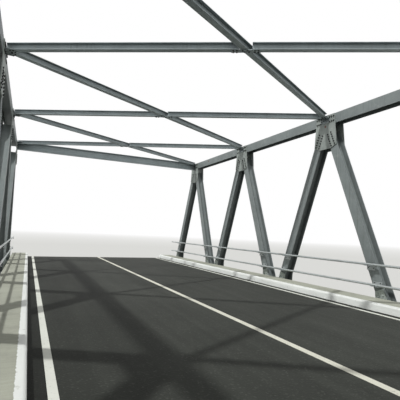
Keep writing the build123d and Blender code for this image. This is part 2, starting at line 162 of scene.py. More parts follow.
class BoltSizes(bpy.types.PropertyGroup):
    """Sizes and spacing of the structural bolts."""
    across_flats: size("Across flats", 0.041, "Width of the head across its flats")
    head: size("Head height", 0.015, "Height of the head")
    washer: size("Washer", 0.049, "Outside diameter of the washer")
    washer_t: size("Washer thickness", 0.004, "Thickness of the washer")
    pitch: size("Pitch", 0.080, "Spacing of the bolts along a member")
    gauge: size("Gauge", 0.145, "Spacing of the two bolt lines across a member")
    bracing: fraction("Bracing bolts", 0.7, "Size of the bracing bolts against the truss bolts")
    bracing_pitch: size("Bracing pitch", 0.070, "Spacing of the bolts along a brace")
    bracing_gauge: size("Bracing gauge", 0.075, "Spacing of the two bolt lines across a brace")


class ClampSizes(bpy.types.PropertyGroup):
    """Sizes of the U-bolts that hold the handrails."""
    rod: size("Rod", 0.012, "Diameter of the U-bolt's rod")
    tail: size("Tail", 0.064, "Length of the rod's legs below the middle of the pipe")
    nuts: fraction("Nuts", 0.5, "Size of the nuts against the truss bolts")
    bolts: fraction("Cleat bolts", 0.6, "Size of the cleat's bolts against the truss bolts")
    spacing: size("Cleat bolt spacing", 0.170, "Spacing of the two bolts that hold a cleat")


class RoadLines(bpy.types.PropertyGroup):
    """Sizes and places of the painted lines."""
    width: size("Edge width", 0.10, "Width of an edge line")
    middle: size("Middle width", 0.12, "Width of the middle line")
    thickness: size("Thickness", 0.003, "Thickness of the paint")
    edge: size("Edge line place", 3.366, "From the middle of the road to the middle of an edge line")


class StageSettings(bpy.types.PropertyGroup):
    """The floor, the light and the camera."""
    floor: colour("Floor", "#C9C9C6", "Pale floor as the camera sees it")
    eye_height: size("Eye height", 1.6076, "Camera height above the road")


def bridge():
    """The sizes and colours as the user has set them."""
    return bpy.context.scene.truss_bridge


# Node trees

def add(tree, kind, *inputs, output=None, **settings):
    """Adds a shader node with its settings and links, and gives the named output, or else the first.

    Its inputs are constants or the sockets that feed it, in the order in which the node shows them, or by
    name in one dictionary. So a Map Range takes a value, the range it comes from and the range it becomes.
    """
    node = tree.nodes.new("ShaderNode" + kind)
    for name, value in settings.items():
        setattr(node, name, value)
    if inputs and isinstance(inputs[0], dict):
        fed = [(node.inputs[name], value) for name, value in inputs[0].items()]
    else:
        fed = zip([socket for socket in node.inputs if socket.enabled], inputs)
    for socket, value in fed:
        if isinstance(value, bpy.types.NodeSocket):
            tree.links.new(value, socket)
        else:
            socket.default_value = value
    named = (socket for socket in node.outputs if socket.enabled and output in (None, socket.name))
    return next(named, None)


def per_metre(millimetres):
    """A pattern's scale from the real size of what repeats in it."""
    return 1000 / millimetres


def rgba(tone):
    """An opaque colour for a socket."""
    return (*tone, 1)


def new_material(name):
    """An empty material and its node tree."""
    material = bpy.data.materials.new(name)
    material.use_nodes = True
    material.node_tree.nodes.clear()
    return material, material.node_tree


def object_place(tree, stretch=(1, 1, 1)):
    """Object coordinates in metres, with each axis stretched."""
    place = add(tree, "TexCoord", output="Object")
    return add(tree, "Mapping", {"Vector": place, "Scale": stretch})


def facing_up(tree):
    """1 on a level face, 0 on an upright one, and less on one that looks down."""
    return add(tree, "SeparateXYZ", add(tree, "NewGeometry", output="Normal"), output="Z")


def patches(tree, place, millimetres, low, high, to_low=0, to_high=1, detail=4, roughness=0.55):
    """Cloudy patches about as wide as given: noise from low to high becomes to_low to to_high."""
    cloud = add(tree, "TexNoise", place, per_metre(millimetres), detail, roughness)
    return add(tree, "MapRange", cloud, low, high, to_low, to_high)


def toned(tree, base, *factors):
    """A colour made lighter or darker by values near 1."""
    for factor in factors:
        base = add(tree, "Mix", 1.0, base, factor, data_type="RGBA", blend_type="MULTIPLY")
    return base


def covered(tree, base, over, share, *more):
    """One colour over another, by one or more shares multiplied together."""
    for other in more:
        share = add(tree, "Math", share, other, operation="MULTIPLY")
    return add(tree, "Mix", share, base, over, data_type="RGBA")


def stain(tree, place, centre, radius):
    """The share of a small stain with a ragged edge round one point."""
    wobble = add(tree, "TexNoise", place, per_metre(90), 3, output="Color")
    wobble = add(tree, "VectorMath", wobble, (0.5, 0.5, 0.5), operation="SUBTRACT")
    wobble = add(tree, "VectorMath", {0: wobble, "Scale": radius}, operation="SCALE")
    moved = add(tree, "VectorMath", place, wobble, operation="ADD")
    away = add(tree, "VectorMath", moved, centre, operation="DISTANCE", output="Value")
    return add(tree, "MapRange", away, radius, radius * 0.4, 0, 1)


# Materials

# How far the painted corner shade reaches, where the painted shade low on the steel ends, how soft the edges
# of the gutter and of the kerb paint are, and how far apart the shims in the bearings lie, in metres
CORNER_SHADE_REACH = 0.3
LOW_SHADE_TOP = Z_TOP - 1
GUTTER_EDGE = 0.05
PAINT_EDGE = 0.002
SHIM_SPACING = 0.016


def zinc(name, tone, mottle=0.10, streak=0.4, bloom=0.35, roughness=0.55, metallic=0.12,
         corners=0, low_shade=0, stains=()):
    """Hot-dip galvanised steel after some years outdoors.

    It gives the eye a matt grey with cloudy tones, faint crystal patches, dark rain streaks, pale dried
    salts, dust on the level faces, painted shade in the corners and on the faces that do not lean back, and
    painted shade that darkens it towards the deck. Each of these has its share, and stains are points with
    their radii.
    """
    finish = bridge().steel
    material, tree = new_material(name)
    place = object_place(tree)
    clouds = patches(tree, place, 700, 0.3, 0.7, 1 - mottle, 1 + mottle)
    # The real crystals are about 10 mm wide, drawn at 45 mm so that they show
    crystals = add(tree, "TexVoronoi", place, per_metre(45), output="Color")
    crystals = add(tree, "MapRange", crystals, 0, 1, 0.96, 1.04)
    up = facing_up(tree)
    dust = add(tree, "MapRange", up, 0.5, 0.9, 1, 0.72)
    base = toned(tree, rgba(tone), clouds, crystals, dust)
    rain = patches(tree, object_place(tree, (1, 1, 0.05)), 55, 0.52, 0.72, detail=3)
    where = patches(tree, place, 1300, 0.4, 0.65, detail=2)
    base = covered(tree, base, rgba(finish.grime), rain, where, streak)
    dried = patches(tree, place, 160, 0.55, 0.72, detail=6, roughness=0.65)
    where = patches(tree, place, 900, 0.45, 0.6, detail=2)
    base = covered(tree, base, rgba(finish.bloom), dried, where, bloom)
    if corners:
        # Painted shade in corners and recesses, from ambient occlusion, on all but the faces that lean back
        # towards the sky
        shade_limit = add(tree, "MapRange", up, 0.05, 0.3, 1 - corners, 1)
        occlusion_for_shade = add(tree, "AmbientOcclusion", {"Distance": CORNER_SHADE_REACH}, samples=8, output="AO")
        base = toned(tree, base, add(tree, "MapRange", occlusion_for_shade, 0.2, 0.85, shade_limit, 1))
    if low_shade:
        # Painted shade: the steel grows darker towards the deck, where the ground gives it less light
        height = add(tree, "SeparateXYZ", place, output="Z")
        base = toned(tree, base, add(tree, "MapRange", height, ROAD_HIGH.z, LOW_SHADE_TOP, 1 - low_shade, 1))
    for centre, radius in stains:
        base = covered(tree, base, rgba(finish.rust), stain(tree, place, centre, radius), 0.85)
    gloss = patches(tree, place, 220, 0.3, 0.7, roughness - 0.07, roughness + 0.1)
    grain = add(tree, "TexNoise", place, per_metre(14), 3, 0.55)
    skin = add(tree, "Bump", {"Height": grain, "Strength": 0.15, "Distance": 0.002})
    shader = add(tree, "BsdfPrincipled", {"Base Color": base, "Roughness": gloss, "Metallic": metallic,
                                          "Normal": skin, "Specular IOR Level": 0.3})
    add(tree, "OutputMaterial", shader)
    return material


def bolt_steel_with_painted_shade():
    """Galvanised bolt steel, darker and duller than the plates round it, made when it is first needed."""
    if "bolt_steel_with_painted_shade" in bpy.data.materials:
        return bpy.data.materials["bolt_steel_with_painted_shade"]
    material, tree = new_material("bolt_steel_with_painted_shade")
    # Painted shade: the dark bolt colour stands in for the shadows round the heads as well as their own dull
    # zinc
    base = toned(tree, rgba(bridge().steel.bolt), patches(tree, object_place(tree), 60, 0.3, 0.7, 0.75, 1.2))
    shader = add(tree, "BsdfPrincipled", {"Base Color": base, "Roughness": 0.6, "Metallic": 0.15,
                                          "Specular IOR Level": 0.3})
    add(tree, "OutputMaterial", shader)
    return material


def asphalt(edge_line):
    """Rolled asphalt: dark bitumen with stone chips, cloudy patches and streaks along the road.

    It is darker over the outer part of the left lane, and outside the edge lines.
    """
    finish = bridge().deck
    material, tree = new_material("rolled_asphalt")
    place = object_place(tree)
    # The real chips are 6 to 10 mm, drawn at 22 mm so that they show
    chips = add(tree, "TexVoronoi", place, per_metre(22), output="Color")
    bare = add(tree, "MapRange", chips, 0.72, 1.0, 0, 1)
    base = covered(tree, rgba(finish.asphalt), rgba(finish.stone), bare, 0.55)
    clouds = patches(tree, place, 1800, 0.3, 0.7, 0.87, 1.13, detail=3)
    streaks = patches(tree, object_place(tree, (1, 0.03, 1)), 260, 0.3, 0.7, 0.87, 1.13, detail=3)
    rolled = add(tree, "TexVoronoi", object_place(tree, (1, 0.35, 1)), per_metre(1500), output="Color")
    rolled = add(tree, "MapRange", rolled, 0, 1, 0.93, 1.05)
    across = add(tree, "SeparateXYZ", place, output="X")
    lane = add(tree, "MapRange", across, -0.7 * edge_line, -0.5 * edge_line, 0.78, 1)
    from_middle = add(tree, "Math", across, operation="ABSOLUTE")
    gutter = add(tree, "MapRange", from_middle, edge_line, edge_line + GUTTER_EDGE, 1, 0.65)
    base = toned(tree, base, clouds, streaks, rolled, lane, gutter)
    depth = add(tree, "TexVoronoi", place, per_metre(22), output="Distance")
    skin = add(tree, "Bump", {"Height": depth, "Strength": 0.5, "Distance": 0.004})
    shader = add(tree, "BsdfPrincipled", {"Base Color": base, "Roughness": 0.75, "Normal": skin,
                                          "Specular IOR Level": 0.08})
    add(tree, "OutputMaterial", shader)
    return material


def concrete_colour(tree, place):
    """Colour and grain of concrete: cloudy, damp in places, finely pored."""
    finish = bridge().deck
    damp = patches(tree, place, 420, 0.5, 0.7, detail=5, roughness=0.6)
    base = covered(tree, rgba(finish.concrete), rgba(finish.damp), damp, 0.5)
    clouds = patches(tree, place, 900, 0.3, 0.7, 0.84, 1.08, detail=5, roughness=0.6)
    # The real sand grain is 1 to 3 mm, drawn at 9 mm so that it shows
    grain = add(tree, "TexNoise", place, per_metre(9), 2, 0.55)
    return toned(tree, base, clouds, add(tree, "MapRange", grain, 0.3, 0.7, 0.93, 1.06)), grain


def cast_concrete():
    """Concrete cast in forms: a matt buff grey with pores and cloudy patches."""
    material, tree = new_material("cast_concrete")
    base, grain = concrete_colour(tree, object_place(tree))
    skin = add(tree, "Bump", {"Height": grain, "Strength": 0.3, "Distance": 0.002})
    shader = add(tree, "BsdfPrincipled", {"Base Color": base, "Roughness": 0.85, "Normal": skin})
    add(tree, "OutputMaterial", shader)
    return material


def kerb_concrete(paint_reach):
    """Broomed walkway concrete, with white road paint over the kerb as far out as given."""
    material, tree = new_material("broomed_concrete_and_kerb_paint_with_painted_shade")
    place = object_place(tree)
    base, grain = concrete_colour(tree, place)
    # Broom strokes are 5 mm apart, drawn at 30 mm so that they show
    strokes = add(tree, "TexNoise", object_place(tree, (0.06, 1, 1)), per_metre(30), 2, 0.55)
    base = toned(tree, base, add(tree, "MapRange", strokes, 0.3, 0.7, 0.94, 1.05))
    across = add(tree, "Math", add(tree, "SeparateXYZ", place, output="X"), operation="ABSOLUTE")
    across = add(tree, "Math", across, patches(tree, place, 60, 0.3, 0.7, -0.006, 0.006, detail=3))
    painted = add(tree, "MapRange", across, paint_reach + PAINT_EDGE, paint_reach - PAINT_EDGE, 0, 1)
    height = add(tree, "SeparateXYZ", place, output="Z")
    above = add(tree, "Math", height, ROAD_HIGH.z + PAINT_EDGE, operation="GREATER_THAN")
    whole = patches(tree, place, 120, 0.60, 0.72, 1, 0.35, detail=7, roughness=0.7)
    painted = add(tree, "Math", painted, above, operation="MULTIPLY")
    painted = add(tree, "Math", painted, whole, operation="MULTIPLY")
    dirt = patches(tree, object_place(tree, (1, 0.3, 1)), 500, 0.35, 0.65, 0.9, 1.02, detail=5)
    # Darker on the level paint than on the upright face: partly dust, partly painted shade that keeps the
    # sunlit level paint from outshining the upright face
    dust = add(tree, "MapRange", facing_up(tree), 0.3, 0.9, 1, 0.76)
    base = covered(tree, base, toned(tree, rgba(bridge().deck.kerb_paint), dirt, dust), painted)
    gloss = add(tree, "MapRange", painted, 0, 1, 0.85, 0.55)
    rough = add(tree, "Math", grain, strokes)
    skin = add(tree, "Bump", {"Height": rough, "Strength": 0.3, "Distance": 0.002})
    shader = add(tree, "BsdfPrincipled", {"Base Color": base, "Roughness": gloss, "Normal": skin})
    add(tree, "OutputMaterial", shader)
    return material


def line_paint(name, tone):
    """Thermoplastic road paint: off-white, with bitumen showing where tyres have worn it."""
    material, tree = new_material(name)
    place = object_place(tree)
    worn = patches(tree, place, 45, 0.58, 0.70, detail=7, roughness=0.7)
    where = patches(tree, place, 1500, 0.35, 0.65, 0.25, 0.8, detail=2)
    base = covered(tree, rgba(tone), rgba(bridge().deck.asphalt), worn, where)
    base = toned(tree, base, patches(tree, place, 500, 0.3, 0.7, 0.92, 1.03))
    beads = add(tree, "TexNoise", place, per_metre(6), 2, 0.55)
    skin = add(tree, "Bump", {"Height": beads, "Strength": 0.2, "Distance": 0.002})
    shader = add(tree, "BsdfPrincipled", {"Base Color": base, "Roughness": 0.6, "Normal": skin})
    add(tree, "OutputMaterial", shader)
    return material


def bearing_rubber():
    """Vulcanised bearing rubber over steel shims, which show as faint level lines."""
    material, tree = new_material("bearing_rubber")
    place = object_place(tree)
    height = add(tree, "SeparateXYZ", place, output="Z")
    shims = add(tree, "Math", height, 2 * math.pi / SHIM_SPACING, operation="MULTIPLY")
    shims = add(tree, "Math", shims, operation="SINE")
    base = toned(tree, rgba(bridge().deck.rubber), patches(tree, place, 90, 0.3, 0.7, 0.8, 1.5))
    skin = add(tree, "Bump", {"Height": shims, "Strength": 0.6, "Distance": 0.004})
    shader = add(tree, "BsdfPrincipled", {"Base Color": base, "Roughness": 0.7, "Normal": skin})
    add(tree, "OutputMaterial", shader)
    return material


def joint_steel():
    """Bare steel bar of the road joint: brown-grey, with road dirt in its pits."""
    material, tree = new_material("expansion_joint_steel")
    place = object_place(tree)
    rusty = patches(tree, place, 120, 0.5, 0.65, detail=6, roughness=0.6)
    base = covered(tree, rgba(bridge().deck.joint), rgba(bridge().steel.rust), rusty, 0.5)
    pits = add(tree, "TexNoise", place, per_metre(10), 3, 0.55)
    skin = add(tree, "Bump", {"Height": pits, "Strength": 0.3, "Distance": 0.002})
    shader = add(tree, "BsdfPrincipled", {"Base Color": base, "Roughness": 0.6, "Metallic": 0.5,
                                          "Normal": skin})
    add(tree, "OutputMaterial", shader)
    return material


def dress(prefixes, material):
    """Gives every CAD node whose name starts with one of the prefixes its material."""
    for name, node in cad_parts.items():
        if name.startswith(prefixes):
            node.data.materials.clear()
            node.data.materials.append(material)


# Mesh tools

def deselect():
    for thing in bpy.context.selected_objects:
        thing.select_set(False)


def make_active(thing):
    deselect()
    thing.select_set(True)
    bpy.context.view_layer.objects.active = thing


def edit_faces(thing, chosen, *steps):
    """In edit mode selects the faces that pass the test, and takes the steps on them."""
    make_active(thing)
    bpy.ops.object.mode_set(mode="EDIT")
    bpy.ops.mesh.select_mode(type="FACE")
    bpy.ops.mesh.select_all(action="DESELECT")
    mesh = bmesh.from_edit_mesh(thing.data)
    for face in mesh.faces:
        face.select_set(chosen(face))
    bmesh.update_edit_mesh(thing.data)
    for step in steps:
        step()
    bpy.ops.object.mode_set(mode="OBJECT")


def settle(thing):
    """Puts an object's place into its mesh."""
    make_active(thing)
    bpy.ops.object.transform_apply(location=True, rotation=True, scale=True)


def joined(things, name):
    """Joins objects into one, with its origin at the origin."""
    deselect()
    for thing in things:
        thing.select_set(True)
    bpy.context.view_layer.objects.active = things[0]
    bpy.ops.object.join()
    whole = bpy.context.view_layer.objects.active
    whole.name = name
    whole.data.name = name
    settle(whole)
    return whole


def repeated(thing, count, step):
    """Repeats a piece in a row with an array."""
    make_active(thing)
    array = thing.modifiers.new("row", "ARRAY")
    array.count = count
    array.use_relative_offset = False
    array.use_constant_offset = True
    array.constant_offset_displace = step
    bpy.ops.object.modifier_apply(modifier=array.name)


def copy_at(master, matrix):
    """A copy of a finished piece with its own mesh, put at a place."""
    copy = master.copy()
    copy.data = master.data.copy()
    copy.data.transform(matrix)
    bpy.context.scene.collection.objects.link(copy)
    return copy


def facing(place, along, outward):
    """A matrix that puts a piece at a place with its Y along the member and its Z outward."""
    y, z = Vector(along).normalized(), Vector(outward).normalized()
    x = y.cross(z)
    turn = Matrix((x, y, z)).transposed().to_4x4()
    return Matrix.Translation(Vector(place)) @ turn


def looks_up(face):
    return face.normal.z > 0.9


def finish_piece(thing, material):
    """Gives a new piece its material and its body."""
    thing.data.materials.clear()
    thing.data.materials.append(material)
    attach(thing, "root")


def discard(*things):
    for thing in things:
        bpy.data.objects.remove(thing, do_unlink=True)


# Bolts

WASHER_SIDES = 10
HEAD_SIDES = 6
# Shares of the head's width and height
CHAMFER_WIDTH = 0.09
CHAMFER_DEPTH = 0.14


def bolt_head(part=1.0):
    """A hexagon head on its washer, standing on Z = 0, with its top corners turned down."""
    sizes = bridge().bolts
    flats, height, washer_t = sizes.across_flats * part, sizes.head * part, sizes.washer_t * part
    deselect()
    bpy.ops.mesh.primitive_cylinder_add(vertices=WASHER_SIDES, radius=sizes.washer * part / 2, depth=washer_t,
                                        location=(0, 0, washer_t / 2))
    washer = bpy.context.object
    deselect()
    bpy.ops.mesh.primitive_cylinder_add(vertices=HEAD_SIDES, radius=flats / math.sqrt(3), depth=height,
                                        location=(0, 0, washer_t + height / 2))
    head = bpy.context.object
    edit_faces(head, looks_up, lambda: bpy.ops.mesh.inset(thickness=flats * CHAMFER_WIDTH,
                                                          depth=height * CHAMFER_DEPTH))
    return joined([washer, head], "bolt_head")


def bolt_pattern(name, columns, rows, gauge, pitch, part=1.0):
    """Bolts in columns across X and rows along Y, with the first row at Y = 0."""
    pattern = bolt_head(part)
    pattern.name = name
    repeated(pattern, columns, (gauge, 0, 0))
    repeated(pattern, rows, (0, pitch, 0))
    pattern.data.transform(Matrix.Translation((-(columns - 1) * gauge / 2, 0, 0)))
    return pattern


def plate_faces(side):
    """The two faces of a truss's gusset plates that show, with the way each one looks."""
    return [(side * INNER_FACE, -side), (side * OUTER_FACE, side)]


# Rows of bolts, and how far from the middle of the node the first row is, in metres
EAR_ROWS = 6
TOP_EAR_FIRST = 0.47
BOTTOM_EAR_FIRST = 0.98
CHORD_ROWS = 3
CHORD_FIRST = 0.19


def ear_bolts(side, nodes, z_node, rise, first, bare=()):
    """Bolt patterns on the ears round the diagonals, for one truss, but none on the bare sides of a node."""
    sizes = bridge().bolts
    pattern = bolt_pattern("ear_pattern", 2, EAR_ROWS, sizes.gauge, sizes.pitch)
    copies = []
    for y_node in nodes:
        for lean in (-1, 1):
            if (y_node, lean) in bare:
                continue
            along = Vector((0, lean * math.sin(LEAN), rise * math.cos(LEAN)))
            for x, outward in plate_faces(side):
                start = Vector((x, y_node, z_node)) + along * first
                copies.append(copy_at(pattern, facing(start, along, (outward, 0, 0))))
    discard(pattern)
    return copies


def chord_bolts(side, nodes, z_node, bare):
    """Bolt patterns through the gussets at the ends of the chord's lengths, for one truss."""
    sizes = bridge().bolts
    pattern = bolt_pattern("chord_pattern", 2, CHORD_ROWS, sizes.gauge, sizes.pitch)
    copies = []
    for y_node in nodes:
        for way in (-1, 1):
            if (y_node, way) in bare:
                continue
            for x, outward in plate_faces(side):
                start = Vector((x, y_node + way * CHORD_FIRST, z_node))
                copies.append(copy_at(pattern, facing(start, (0, way, 0), (outward, 0, 0))))
    discard(pattern)
    return copies


class TRUSS_OT_top_gusset_bolts(bpy.types.Operator):
    """Bolts the diagonals and the top chords to the top gussets"""
    bl_idname = "truss.top_gusset_bolts"
    bl_label = "Top Gusset Bolts"

    def execute(self, context):
        steel = bolt_steel_with_painted_shade()
        for name, side in SIDES.items():
            bolts = ear_bolts(side, TOP_NODES, Z_TOP, -1, TOP_EAR_FIRST)
            bolts += chord_bolts(side, TOP_NODES, Z_TOP, TOP_CHORD_STOPS)
            finish_piece(joined(bolts, f"top_gusset_bolts_{name}"), steel)
        return {"FINISHED"}


class TRUSS_OT_bottom_gusset_bolts(bpy.types.Operator):
    """Bolts the diagonals and the bottom chords to the bottom gussets"""
    bl_idname = "truss.bottom_gusset_bolts"
    bl_label = "Bottom Gusset Bolts"

    def execute(self, context):
        # These bolts take the plates' own zinc, without the painted shade of the dark bolt steel, and hardly
        # show against their plates
        steel = bpy.data.materials["galvanised_plates"]
        for name, side in SIDES.items():
            bolts = ear_bolts(side, BOTTOM_NODES, Z_BOTTOM, 1, BOTTOM_EAR_FIRST, BOTTOM_CHORD_STOPS)
            bolts += chord_bolts(side, BOTTOM_NODES, Z_BOTTOM, BOTTOM_CHORD_STOPS)
            finish_piece(joined(bolts, f"bottom_gusset_bolts_{name}"), steel)
        return {"FINISHED"}


# Bolts of the bracing and the cross beams

# Along the bridge from the node, and down from the plate that the braces stand on, in metres
SEAT_BOLTS = (-0.135, -0.045, 0.045, 0.135)
PORTAL_SEAT_BOLT = 0.142
SEAT_BOLT_DROP = 0.065
# Rows of bolts, and how far from the corner or the crossing the first row is
BRACE_ROWS = 2
BRACE_FIRST = 0.12
PORTAL_BRACE_FIRST = 0.36
SPLICE_FIRST = 0.18
ANGLE_ROWS = 4
ANGLE_FIRST = 0.61
LOW_SPLICE_FIRST = 0.16
# Columns, rows, gauge and pitch
PORTAL_BOLTS = (2, 4, 0.12, 0.08)
GIRDER_BOLTS = (2, 7, 0.18, 0.08)
STRINGER_BOLTS = (2, 2, 0.11, 0.20)
PORTAL_BOLTS_MIDDLE = Z_TOP - 0.025


def bay_lines(corners):
    """For each bay, the line of its through brace and the line of the pair that is split."""
    x, nodes = corners
    for near, far in zip(nodes, nodes[1:]):
        through = (Vector((-x, near, 0)), Vector((x, far, 0)))
        split = (Vector((x, near, 0)), Vector((-x, far, 0)))
        yield through, split


def on_levels(pattern, place, along, levels):
    """Copies of a level bolt pattern, each at a height and facing up or down."""
    turns = [facing((place.x, place.y, z), along, (0, 0, up)) for z, up in levels]
    return [copy_at(pattern, turn) for turn in turns]


def top_brace_first(y_node):
    """How far from a corner a top brace's bolts start, which is farther where it is notched."""
    return PORTAL_BRACE_FIRST if y_node in PORTALS else BRACE_FIRST


def brace_end_bolts(pattern, corners, first, levels):
    """Bolt patterns at both ends of every brace."""
    copies = []
    for lines in bay_lines(corners):
        for a, b in lines:
            for start, end in ((a, b), (b, a)):
                along = (end - start).normalized()
                copies += on_levels(pattern, start + along * first(start.y), along, levels)
    return copies


def crossing_bolts(pattern, pair, corners, first, offsets, levels):
    """Bolt patterns on the plate where two braces cross: the split brace's ends and the through brace."""
    copies = []
    for through, split in bay_lines(corners):
        centre = (through[0] + through[1]) / 2
        along = (through[1] - through[0]).normalized()
        across = Vector((-along.y, along.x, 0))
        branch = (split[1] - centre).normalized()
        for way in (-branch, branch):
            copies += on_levels(pattern, centre + way * first, way, levels)
        for offset in offsets:
            on_plate = centre + branch * (offset / branch.dot(across))
            copies += on_levels(pair, on_plate - along * bridge().bolts.bracing_pitch / 2, along, levels)
    return copies


def seat_bolts(pattern):
    """Bolts through the legs of the top node plates, which hang on the gussets."""
    copies = []
    z = BRACE_SEAT - PLATE_T - SEAT_BOLT_DROP
    for side in SIDES.values():
        for y_node in TOP_NODES:
            offsets = SEAT_BOLTS
            if y_node in PORTALS:
                offsets = (PORTAL_SEAT_BOLT,) if y_node == PORTALS[0] else (-PORTAL_SEAT_BOLT,)
            for offset in offsets:
                place = (side * (INNER_FACE - PLATE_T), y_node + offset, z)
                copies.append(copy_at(pattern, facing(place, (0, 0, 1), (-side, 0, 0))))
    return copies


class TRUSS_OT_top_bracing_bolts(bpy.types.Operator):
    """Bolts the overhead braces to their plates, and the plates to the gussets"""
    bl_idname = "truss.top_bracing_bolts"
    bl_label = "Top Bracing Bolts"

    def execute(self, context):
        sizes = bridge().bolts
        levels = ((BRACE_SEAT - PLATE_T, -1), (BRACE_SEAT + BRACE_FLANGE_T, 1))
        gauge = sizes.bracing_gauge
        ends = bolt_pattern("brace_end_pattern", 2, BRACE_ROWS, gauge, sizes.bracing_pitch, sizes.bracing)
        splice = bolt_pattern("splice_pattern", 2, 2, gauge, sizes.bracing_pitch, sizes.bracing)
        pair = bolt_pattern("pair_pattern", 1, 2, gauge, sizes.bracing_pitch, sizes.bracing)
        single = bolt_head(sizes.bracing)
        bolts = brace_end_bolts(ends, TOP_CORNERS, top_brace_first, levels)
        bolts += crossing_bolts(splice, pair, TOP_CORNERS, SPLICE_FIRST, (-gauge / 2, gauge / 2), levels)
        bolts += seat_bolts(single)
        discard(ends, splice, pair, single)
        finish_piece(joined(bolts, "top_bracing_bolts"), bolt_steel_with_painted_shade())
        return {"FINISHED"}


class TRUSS_OT_bottom_bracing_bolts(bpy.types.Operator):
    """Bolts the angles under the floor to their plates"""
    bl_idname = "truss.bottom_bracing_bolts"
    bl_label = "Bottom Bracing Bolts"

    def execute(self, context):
        sizes = bridge().bolts
        levels = ((ANGLE_SEAT - PLATE_T, -1), (ANGLE_SEAT + ANGLE_T, 1))
        ends = bolt_pattern("angle_end_pattern", 1, ANGLE_ROWS, 0, sizes.bracing_pitch, sizes.bracing)
        pair = bolt_pattern("angle_pair_pattern", 1, 2, 0, sizes.bracing_pitch, sizes.bracing)
        bolts = brace_end_bolts(ends, LOW_CORNERS, lambda y: ANGLE_FIRST, levels)
        bolts += crossing_bolts(pair, pair, LOW_CORNERS, LOW_SPLICE_FIRST, (0,), levels)
        discard(ends, pair)
        finish_piece(joined(bolts, "bottom_bracing_bolts"), bolt_steel_with_painted_shade())
        return {"FINISHED"}


def end_plate_bolts(name, pattern_sizes, nodes, z_middle):
    """Bolt patterns on the end plates of the beams between the trusses, at both trusses."""
    columns, rows, gauge, pitch = pattern_sizes
    pattern = bolt_pattern(name, columns, rows, gauge, pitch)
    z = z_middle - (rows - 1) * pitch / 2
    places = [(side, (side * END_PLATE_FACE, y, z)) for side in SIDES.values() for y in nodes]
    copies = [copy_at(pattern, facing(place, (0, 0, 1), (-side, 0, 0))) for side, place in places]
    discard(pattern)
    return copies


class TRUSS_OT_beam_bolts(bpy.types.Operator):
    """Bolts the portal beams and the cross girders to the trusses, and the stringers to the girders"""
    bl_idname = "truss.beam_bolts"
    bl_label = "Beam Bolts"

    def execute(self, context):
        steel = bolt_steel_with_painted_shade()
        portal = end_plate_bolts("portal_pattern", PORTAL_BOLTS, PORTALS, PORTAL_BOLTS_MIDDLE)
        finish_piece(joined(portal, "portal_beam_bolts"), steel)
        girder = end_plate_bolts("girder_pattern", GIRDER_BOLTS, BOTTOM_NODES, middle(GIRDERS[0], 2))
        columns, rows, gauge, pitch = STRINGER_BOLTS
        pattern = bolt_pattern("stringer_pattern", columns, rows, gauge, pitch, bridge().bolts.bracing)
        z = STRINGER_SEAT + STRINGER_FLANGE_T
        for x in STRINGERS:
            for y in BOTTOM_NODES:
                girder.append(copy_at(pattern, Matrix.Translation((x, y - pitch / 2, z))))
        discard(pattern)
        finish_piece(joined(girder, "cross_girder_bolts"), steel)
        return {"FINISHED"}


# Handrail clamps

ROD_SIDES = 8
BEND_STEPS = 10
MERGED_WITHIN = 0.0001
# From the underside of the pipe to the bolts of a cleat that stands, and of one that hangs, in metres
CLEAT_BOLT_RISE = 0.080
CLEAT_BOLT_DROP = 0.065


def u_bolt():
    """A U-bolt over the pipe, with the middle of the pipe at the origin and its legs down."""
    sizes = bridge().clamps
    radius = RAIL_R + sizes.rod / 2
    deselect()
    bpy.ops.mesh.primitive_circle_add(vertices=ROD_SIDES, radius=sizes.rod / 2, fill_type="NGON",
                                      location=(radius, 0, -sizes.tail))
    rod = bpy.context.object
    settle(rod)
    up, down = {"value": (0, 0, sizes.tail)}, {"value": (0, 0, -sizes.tail)}
    edit_faces(rod, lambda face: True,
               lambda: bpy.ops.mesh.extrude_region_move(TRANSFORM_OT_translate=up),
               lambda: bpy.ops.mesh.spin(steps=BEND_STEPS, angle=math.pi, center=(0, 0, 0), axis=(0, -1, 0)),
               lambda: bpy.ops.mesh.extrude_region_move(TRANSFORM_OT_translate=down),
               lambda: bpy.ops.mesh.select_all(action="SELECT"),
               lambda: bpy.ops.mesh.remove_doubles(threshold=MERGED_WITHIN),
               lambda: bpy.ops.mesh.normals_make_consistent(inside=False))
    return rod


def rail_clamp():
    """A U-bolt with a nut and a washer on each leg, under the cleat's level leg."""
    sizes = bridge().clamps
    pieces = [u_bolt()]
    nut = bolt_head(sizes.nuts)
    for x in (-1, 1):
        place = (x * (RAIL_R + sizes.rod / 2), 0, -RAIL_R - CLEAT_T)
        pieces.append(copy_at(nut, facing(place, (0, 1, 0), (0, 0, -1))))
    discard(nut)
    return joined(pieces, "rail_clamp")


def cleat_places():
    """Where each rail meets the diagonals: the place along the span, the level, and the cleat's way up."""
    for low in BOTTOM_NODES[:-1]:
        for foot, step in ((low, 1), (low + PANEL, -1)):
            for z, upright in zip(RAIL_LEVELS, (1, -1)):
                yield foot + step * (z - Z_BOTTOM) * math.tan(LEAN), z, upright


